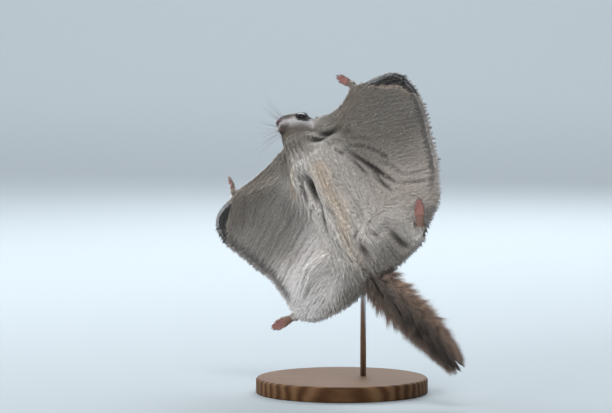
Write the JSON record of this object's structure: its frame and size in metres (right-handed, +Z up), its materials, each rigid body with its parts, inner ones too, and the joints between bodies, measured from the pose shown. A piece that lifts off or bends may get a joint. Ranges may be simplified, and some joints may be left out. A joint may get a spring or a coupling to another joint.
{
  "type": "flying squirrel model",
  "caption": "Still, life-size model of a gliding flying squirrel, limbs and membranes spread, held over a plain round display base by a bent rod.",
  "frame": {"origin": "centre of the underside of the stand's round base", "axes": "+Z up from the base; -Y toward the viewer, who sees the animal's belly; +X to that viewer's right"},
  "size_m": [0.2123, 0.1898, 0.2703],
  "materials": {
    "coat": "soft grey-beige fur, matt",
    "membrane": "short grey fur over thin skin, darker at the free edge",
    "paw_skin": "bare pink and tan skin, matt",
    "eye": "glossy black",
    "tail_hair": "brown-grey brush of longer hair with reddish tips",
    "base_wood": "dark oiled wood",
    "rod_steel": "brushed"
  },
  "bodies": {
    "root": {"torso": "coat", "neck": "coat", "head": "coat", "ear_left": "coat", "ear_right": "coat", "upper_arm_left": "coat", "forearm_left": "coat", "thigh_left": "coat", "shank_left": "coat", "upper_arm_right": "coat", "forearm_right": "coat", "thigh_right": "coat", "shank_right": "coat", "front_membrane_left": "membrane", "main_membrane_left": "membrane", "rear_membrane_left": "membrane", "front_membrane_right": "membrane", "main_membrane_right": "membrane", "rear_membrane_right": "membrane", "hand_left": "paw_skin", "foot_left": "paw_skin", "hand_right": "paw_skin", "foot_right": "paw_skin", "eye_left": "eye", "eye_right": "eye", "tail": "tail_hair", "stand_base": "base_wood", "stand_rod": "rod_steel"}
  },
  "joints": []
}
